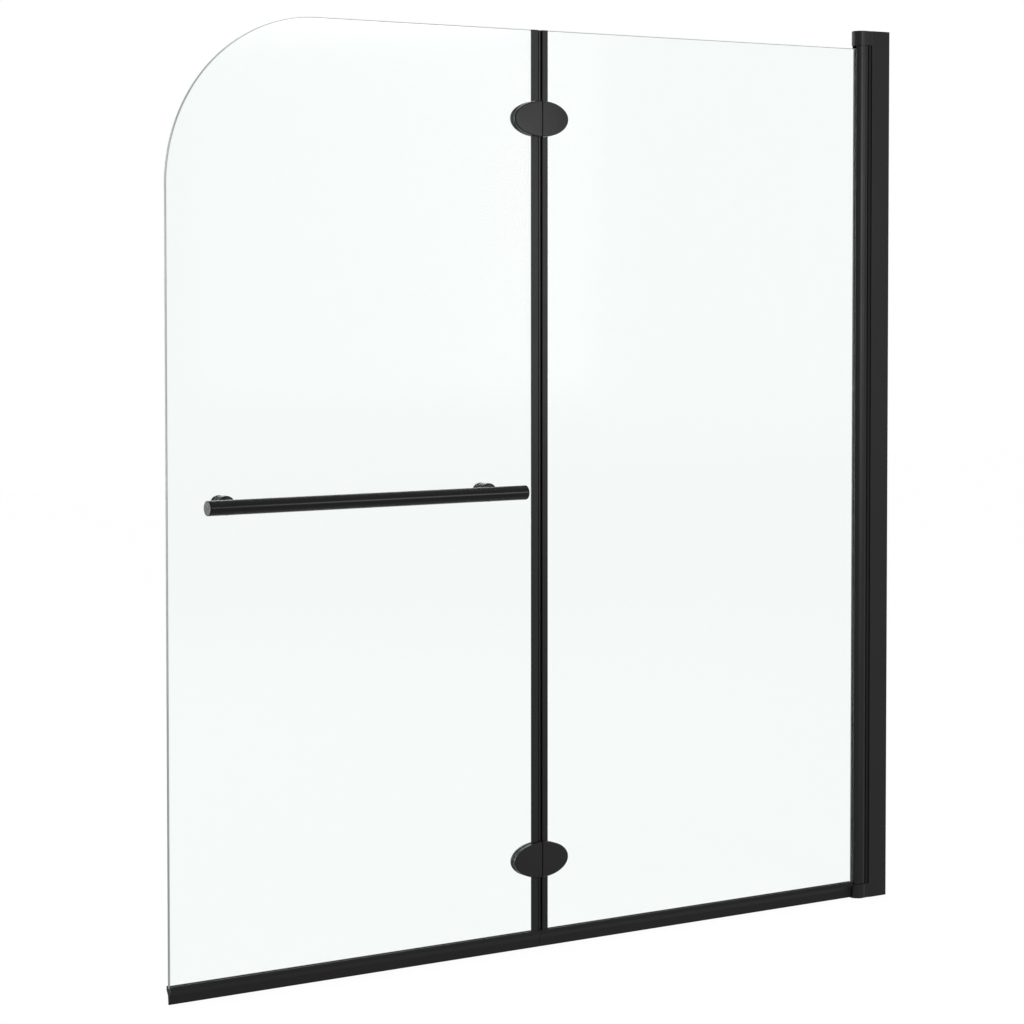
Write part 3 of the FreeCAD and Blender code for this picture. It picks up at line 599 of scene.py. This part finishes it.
def hinge_cover(name, leaf, sizes):
    """One half of an oval cover: a gentle crown, a bevelled rim and a parting face at the fold."""
    low, high = cover_low[name], cover_high[name]
    middle = Vector(((low.x + high.x) / 2, 0, hinge_heights[name]))
    major, minor = (high.x - low.x) / 2, (high.z - low.z) / 2
    face_y, start_y = low.y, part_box(name + "_hinge_outer_front")[1].y
    edge = sizes.hinge_bevel
    crown = sizes.hinge_crown_radius

    def oval(reach_x, reach_z, depth=None, drop=0.0):
        points = []
        for step in range(OVAL_TURN):
            angle = 2 * pi * step / OVAL_TURN
            x, z = reach_x * cos(angle), reach_z * sin(angle)
            y = depth if depth is not None else face_y + (x * x + z * z) / (2 * crown) + drop
            points.append(middle + Vector((x, y, z)))
        return points

    rings = [oval(major - COVER_EDGE_BREAK, minor - COVER_EDGE_BREAK, start_y),
             oval(major, minor, start_y - COVER_EDGE_BREAK),
             oval(major, minor, None, edge), oval(major - edge, minor - edge)]
    rings += [oval((major - edge) * share, (minor - edge) * share) for share in CROWN_SHARES]
    bm = bmesh.new()
    add_shell(bm, rings)
    side = -1 if leaf == "outer" else 1
    cut_x = parting_left if leaf == "outer" else parting_right
    everything = bm.verts[:] + bm.edges[:] + bm.faces[:]
    cut = bmesh.ops.bisect_plane(bm, geom=everything, plane_co=(cut_x, 0, 0), plane_no=(-side, 0, 0),
                                 clear_outer=True)
    edges = [item for item in cut["geom_cut"] if isinstance(item, bmesh.types.BMEdge)]
    bmesh.ops.contextual_create(bm, geom=edges)
    half = name + "_hinge_" + leaf
    piece = make_piece(half + "_cover", bm, leaf + "_leaf", "black_hinge_metal", half + "_front", crease=35)
    soften(piece, COVER_EDGE_ROUND)


def add_socket_screw(bm, place, inward, head_radius, shank_radius, head_height, reach, key):
    """A countersunk screw with a hexagon socket: the head is flush at its place, the shank points inward."""
    depth = head_height * SOCKET_DEPTH_SHARE
    profile = [(key / 2, depth), (key / 2, SOCKET_EDGE_DEPTH), (key / 2 + SOCKET_EDGE, 0),
               (head_radius - SOCKET_EDGE, 0), (head_radius, HEAD_RIM), (shank_radius, head_height),
               (shank_radius, reach - TIP_LENGTH), (shank_radius - TIP_TAPER, reach)]
    add_turned(bm, place, inward, profile, SCREW_TURN, {0: hexagon, 1: hexagon, 2: hexagon})


def hinge_screw_set(leaf, side, sizes):
    """The four countersunk screws that clamp one leaf's hinge halves through the glass."""
    bm = bmesh.new()
    low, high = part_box(leaf + "_hinge_screws")
    reach = high.y - low.y - 2 * HINGE_SCREW_SETBACK
    for x, z in hinge_screw_places(sizes, side):
        add_socket_screw(bm, Vector((x, high.y - HINGE_SCREW_SETBACK, z)), TO_ROOM, HINGE_SCREW_HEAD,
                         HINGE_SCREW_SHANK, HINGE_SCREW_HEAD_HEIGHT, reach, HINGE_SCREW_KEY)
    make_piece(leaf + "_countersunk_screws", bm, leaf + "_leaf", "stainless_steel", leaf + "_hinge_screws")


# Towel bar

def towel_bar_tube(sizes):
    """The tube of the towel bar, with a small edge break at its ends."""
    # A hair smaller, because the solid tube's facets lie inside its true round
    outer = bar_high.z - bar_z - TUBE_RELIEF
    inner = outer - sizes.bar_wall
    reach = bar_high.x - bar_low.x
    profile = [(inner, 0), (outer - TUBE_EDGE_BREAK, 0), (outer, TUBE_EDGE_BREAK),
               (outer, reach - TUBE_EDGE_BREAK), (outer - TUBE_EDGE_BREAK, reach), (inner, reach), (inner, 0)]
    bm = bmesh.new()
    origin = Vector((bar_high.x, bar_y, bar_z))
    rings = [ring(origin, AWAY_FROM_WALL, radius, distance, SMOOTH_TURN) for radius, distance in profile]
    add_shell(bm, rings, False)
    bmesh.ops.remove_doubles(bm, verts=bm.verts, dist=MERGE_DISTANCE)
    make_piece("towel_bar_tube", bm, "outer_leaf", "black_bar_metal", "towel_bar")


def bar_plugs(sizes):
    """A flat plug with a rounded rim in each end of the tube."""
    radius = bar_high.z - bar_z - TUBE_RELIEF
    spigot = radius - sizes.bar_wall - SPIGOT_CLEARANCE
    bm = bmesh.new()
    for end_x, tube_x, axis in ((plug_low.x, bar_low.x, AWAY_FROM_WALL),
                                (plug_high.x, bar_high.x, -AWAY_FROM_WALL)):
        face = abs(end_x - tube_x)
        profile = [(spigot, -SPIGOT_LENGTH), (spigot, PLUG_RELIEF), (radius - PLUG_LAND, PLUG_RELIEF),
                   (radius, PLUG_LAND)]
        profile += round_corners([(radius, PLUG_LAND), (radius, face, sizes.bar_end_round), (0, face)])[1:-1]
        profile += [(radius - PLUG_FACE_MARGIN, face), (PLUG_FACE_CENTRE, face)]
        add_turned(bm, Vector((tube_x, bar_y, bar_z)), axis, profile, SMOOTH_TURN)
    make_piece("bar_flat_plugs", bm, "outer_leaf", "black_bar_metal", "bar_end_plugs")


def bar_post(side, sizes):
    """A turned post from the glass to the bar: rosette, waist, round boss and a neck shaped to the tube."""
    low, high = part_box(side + "_bar_bracket")
    origin = Vector((bracket_x[side], 0, bar_z))
    tube = bar_high.z - bar_z
    start = -high.y
    boss = (high.z - low.z) / 2
    cap_low, cap_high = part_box("bar_rear_caps")
    rosette = (cap_high.z - cap_low.z) / 2
    waist = boss - sizes.waist_depth
    # A third value is the radius of that corner's round
    profile = round_corners([
        (rosette - ROSETTE_EDGE, start), (rosette, start + ROSETTE_EDGE),
        (rosette, ROSETTE_END, ROSETTE_ROUND), (waist, WAIST_START, WAIST_ROUND),
        (waist, WAIST_END, WAIST_ROUND), (boss, BOSS_START, BOSS_START_ROUND),
        (boss, BOSS_END, BOSS_END_ROUND), (NECK_RADIUS, BOSS_END, NECK_ROUND), (NECK_RADIUS, NECK_SADDLE)])
    rings = [ring(origin, TO_ROOM, radius, distance, SMOOTH_TURN) for radius, distance in profile]
    saddle = []
    for point in ring(origin, TO_ROOM, NECK_RADIUS, 0, SMOOTH_TURN):
        point.y = bar_y + sqrt(tube ** 2 - (point.z - bar_z) ** 2) - SADDLE_RELIEF
        saddle.append(point)
    rings.append(saddle)
    bm = bmesh.new()
    add_shell(bm, rings)
    make_piece(side + "_turned_post", bm, "outer_leaf", "black_bar_metal", side + "_bar_bracket")


def rear_caps():
    """Low round nuts with a hexagon socket on the bath side of the glass."""
    low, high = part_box("bar_rear_caps")
    radius = (high.z - low.z) / 2
    reach = high.y - low.y
    bm = bmesh.new()
    for x in bracket_x.values():
        profile = [(radius - NUT_EDGE, 0), (radius, NUT_EDGE)]
        profile += round_corners([(radius, NUT_EDGE), (radius, reach, NUT_ROUND), (0, reach)],
                                 NUT_ROUND_STEPS)[1:-1]
        profile += [(NUT_KEY_RIM, reach), (NUT_KEY_RADIUS, reach), (NUT_KEY_RADIUS, reach - NUT_KEY_DEPTH)]
        sockets = {len(profile) - 2: hexagon, len(profile) - 1: hexagon}
        add_turned(bm, Vector((x, low.y, bar_z)), TO_BATH, profile, SMOOTH_TURN, sockets)
    make_piece("bar_low_nuts", bm, "outer_leaf", "black_bar_metal", "bar_rear_caps")


# Wall side

def cover_caps():
    """Thin domed caps over the adjusting screws on the bath side of the channel."""
    radius = (cover_cap_high.x - cover_cap_low.x) / 2
    x = (cover_cap_high.x + cover_cap_low.x) / 2
    height = cover_cap_high.y - cover_cap_low.y
    bore, ceiling = radius - COVER_CAP_WALL, height - COVER_CAP_WALL
    shoulder = (radius, height * COVER_CAP_SHOULDER, COVER_CAP_SHOULDER_ROUND)
    crown = (radius * COVER_CAP_CROWN, height, COVER_CAP_CROWN_ROUND)
    lowest, highest = cover_cap_low.z + radius, cover_cap_high.z - radius
    bm = bmesh.new()
    for z in (lowest, (lowest + highest) / 2, highest):
        profile = [(COVER_CAP_CENTRE, ceiling), (bore, ceiling), (bore, 0), (radius, 0)]
        profile += round_corners([(radius, 0), shoulder, crown, (COVER_CAP_CENTRE, height)],
                                 COVER_CAP_ROUND_STEPS)[1:]
        add_turned(bm, Vector((x, cover_cap_low.y, z)), TO_BATH, profile, CAP_TURN)
    make_piece("domed_cover_caps", bm, "root", "black_nylon", "screw_cover_caps")


def cap_screw_set(end):
    """Two countersunk screws that hold a pivot cap to the expander."""
    low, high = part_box(end + "_cap_screws")
    radius = (high.y - low.y) / 2
    inward = UP if end == "bottom" else -UP
    z = low.z + CAP_SCREW_SETBACK if end == "bottom" else high.z - CAP_SCREW_SETBACK
    reach = high.z - low.z - 2 * CAP_SCREW_SETBACK
    bm = bmesh.new()
    for x in (low.x + radius, high.x - radius):
        add_socket_screw(bm, Vector((x, (low.y + high.y) / 2, z)), inward, radius - CAP_SCREW_HEAD_RELIEF,
                         CAP_SCREW_SHANK, CAP_SCREW_HEAD_HEIGHT, reach, CAP_SCREW_KEY)
    make_piece(end + "_countersunk_cap_screws", bm, "pivot_frame", "stainless_steel", end + "_cap_screws")


# Stage

def white_to_the_eye(tree):
    """One where a ray comes from the camera, a gloss or clear glass."""
    rays = add_node(tree, "ShaderNodeLightPath")
    seen = add_node(tree, "ShaderNodeMath", {
        0: rays.outputs["Is Camera Ray"], 1: rays.outputs["Is Glossy Ray"]}, operation="MAXIMUM")
    return add_node(tree, "ShaderNodeMath", {
        0: seen.outputs["Value"], 1: rays.outputs["Is Transmission Ray"]}, operation="MAXIMUM")


def build_world(background):
    """A plain white surround that lights the object softly."""
    world = bpy.data.worlds.new("plain_studio")
    bpy.context.scene.world = world
    world.use_nodes = True
    tree = world.node_tree
    tree.nodes.clear()
    seen = white_to_the_eye(tree)
    white = (*background, 1)
    plain = add_node(tree, "ShaderNodeBackground", {"Color": white, "Strength": SEEN_STRENGTH})
    light = add_node(tree, "ShaderNodeBackground", {"Color": white, "Strength": LIGHT_STRENGTH})
    mixed = add_node(tree, "ShaderNodeMixShader", {
        0: seen.outputs["Value"], 1: light.outputs["Background"], 2: plain.outputs["Background"]})
    add_node(tree, "ShaderNodeOutputWorld", {"Surface": mixed.outputs["Shader"]})


def build_floor(background):
    """A wide pale floor that keeps the object's shadow."""
    bm = bmesh.new()
    corners = [(-FLOOR_REACH, -FLOOR_REACH), (FLOOR_REACH, -FLOOR_REACH), (FLOOR_REACH, FLOOR_REACH),
               (-FLOOR_REACH, FLOOR_REACH)]
    bm.faces.new([bm.verts.new((x, y, cad_bounds[0][2])) for x, y in corners])
    mesh = bpy.data.meshes.new("studio_floor")
    bm.to_mesh(mesh)
    bm.free()
    material = bpy.data.materials.new("painted_studio_floor")
    material.use_nodes = True
    tree = material.node_tree
    tree.nodes.clear()
    seen = white_to_the_eye(tree)
    glow = add_node(tree, "ShaderNodeEmission", {"Color": (*background, 1), "Strength": FLOOR_GLOW})
    none = add_node(tree, "ShaderNodeEmission", {"Color": (*background, 1), "Strength": 0.0})
    shown = add_node(tree, "ShaderNodeMixShader", {
        0: seen.outputs["Value"], 1: none.outputs["Emission"], 2: glow.outputs["Emission"]})
    pale = tuple(FLOOR_SHARE * part for part in background)
    matt = add_node(tree, "ShaderNodeBsdfDiffuse", {"Color": (*pale, 1)})
    both = add_node(tree, "ShaderNodeAddShader", {0: shown.outputs["Shader"], 1: matt.outputs["BSDF"]})
    add_node(tree, "ShaderNodeOutputMaterial", {"Surface": both.outputs["Shader"]})
    mesh.materials.append(material)
    floor = bpy.data.objects.new("studio_floor", mesh)
    bpy.context.scene.collection.objects.link(floor)


def add_softbox(name, place, width, height, power):
    """A rectangular lamp that faces the middle of the screen."""
    lamp = bpy.data.lights.new(name, "AREA")
    lamp.shape = "RECTANGLE"
    lamp.size = width
    lamp.size_y = height
    lamp.energy = power
    holder = bpy.data.objects.new(name, lamp)
    holder.location = place
    holder.rotation_euler = (LAMP_TARGET - Vector(place)).to_track_quat("-Z", "Y").to_euler()
    bpy.context.scene.collection.objects.link(holder)


def build_camera():
    """The photograph's view: a long lens that looks down by two degrees, with a drop of the frame."""
    data = bpy.data.cameras.new("studio_camera")
    data.sensor_width = CAMERA_SENSOR
    data.lens = CAMERA_LENS
    data.shift_y = CAMERA_SHIFT
    data.clip_start = CAMERA_NEAR
    data.clip_end = CAMERA_FAR
    camera = bpy.data.objects.new("studio_camera", data)
    camera.location = CAMERA_PLACE
    camera.rotation_euler = (radians(90 - CAMERA_DOWN), radians(CAMERA_ROLL), radians(CAMERA_YAW))
    bpy.context.scene.collection.objects.link(camera)
    bpy.context.scene.camera = camera


# Operators

class StageOperator(bpy.types.Operator):
    """Builds the camera, the softboxes, the white surround and the floor"""
    bl_idname = "bath_screen.stage"
    bl_label = "Stage"

    def execute(self, context):
        context.scene.view_settings.view_transform = "Standard"
        background = tuple(context.scene.screen_colours.background)
        build_world(background)
        build_floor(background)
        build_camera()
        for softbox in SOFTBOXES:
            add_softbox(*softbox)
        return {"FINISHED"}


class FinishOperator(bpy.types.Operator):
    """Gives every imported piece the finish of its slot"""
    bl_idname = "bath_screen.finishes"
    bl_label = "Finishes of the packed pieces"

    def execute(self, context):
        for name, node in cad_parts.items():
            for slot in node.material_slots:
                slot.material = finish(OWN_FINISHES.get(name, slot.material.name))
        return {"FINISHED"}


class GlassOperator(bpy.types.Operator):
    """Builds both panes with ground edges and bored holes"""
    bl_idname = "bath_screen.glass"
    bl_label = "Glass panes"

    def execute(self, context):
        sizes = context.scene.screen_sizes
        holes = [(x, z, sizes.screw_hole_radius) for x, z in hinge_screw_places(sizes, -1)]
        holes += [(x, bar_z, sizes.stud_hole_radius) for x in bracket_x.values()]
        glass_pane("outer_pane", outer_outline, holes, sizes, "outer_leaf", "outer_glass")
        holes = [(x, z, sizes.screw_hole_radius) for x, z in hinge_screw_places(sizes, 1)]
        glass_pane("inner_pane", inner_outline, holes, sizes, "inner_leaf", "inner_glass")
        return {"FINISHED"}


class HingeCoverOperator(bpy.types.Operator):
    """Builds the four halves of the oval hinge covers"""
    bl_idname = "bath_screen.hinge_covers"
    bl_label = "Hinge covers"

    def execute(self, context):
        for name in hinge_heights:
            for leaf in ("outer", "inner"):
                hinge_cover(name, leaf, context.scene.screen_sizes)
        return {"FINISHED"}


class HingeScrewOperator(bpy.types.Operator):
    """Builds the countersunk hinge screws with their key sockets"""
    bl_idname = "bath_screen.hinge_screws"
    bl_label = "Hinge screws"

    def execute(self, context):
        for leaf, side in (("outer", -1), ("inner", 1)):
            hinge_screw_set(leaf, side, context.scene.screen_sizes)
        return {"FINISHED"}


class TowelBarOperator(bpy.types.Operator):
    """Builds the towel bar's tube and its end plugs"""
    bl_idname = "bath_screen.towel_bar"
    bl_label = "Towel bar"

    def execute(self, context):
        towel_bar_tube(context.scene.screen_sizes)
        bar_plugs(context.scene.screen_sizes)
        return {"FINISHED"}


class BracketOperator(bpy.types.Operator):
    """Builds the bar's turned posts and the low nuts behind the glass"""
    bl_idname = "bath_screen.brackets"
    bl_label = "Bar brackets"

    def execute(self, context):
        for side in bracket_x:
            bar_post(side, context.scene.screen_sizes)
        rear_caps()
        return {"FINISHED"}


class WallSideOperator(bpy.types.Operator):
    """Builds the domed cover caps and the pivot caps' screws"""
    bl_idname = "bath_screen.wall_side"
    bl_label = "Cover caps and cap screws"

    def execute(self, context):
        cover_caps()
        for end in ("bottom", "top"):
            cap_screw_set(end)
        return {"FINISHED"}


OPERATORS = (StageOperator, FinishOperator, GlassOperator, HingeCoverOperator, HingeScrewOperator,
             TowelBarOperator, BracketOperator, WallSideOperator)


class ScreenPanel(bpy.types.Panel):
    """Lists the pieces of the bath screen"""
    bl_idname = "VIEW3D_PT_bath_screen"
    bl_label = "Bath Screen"
    bl_space_type = "VIEW_3D"
    bl_region_type = "UI"
    bl_category = "Bath Screen"

    def draw(self, context):
        for group in (context.scene.screen_sizes, context.scene.screen_colours):
            column = self.layout.column(align=True)
            for name in group.bl_rna.properties.keys():
                if name not in ("rna_type", "name"):
                    column.prop(group, name)
        for operator in OPERATORS:
            self.layout.operator(operator.bl_idname)


CLASSES = (ScreenSizes, ScreenColours) + OPERATORS + (ScreenPanel,)


def register():
    for item in CLASSES:
        bpy.utils.register_class(item)
    bpy.types.Scene.screen_sizes = PointerProperty(type=ScreenSizes)
    bpy.types.Scene.screen_colours = PointerProperty(type=ScreenColours)


def unregister():
    del bpy.types.Scene.screen_colours
    del bpy.types.Scene.screen_sizes
    for item in reversed(CLASSES):
        bpy.utils.unregister_class(item)


def main():
    register()
    for operator in OPERATORS:
        group, name = operator.bl_idname.split(".")
        getattr(getattr(bpy.ops, group), name)()
    bpy.context.view_layer.update()


if __name__ == "__main__":
    main()
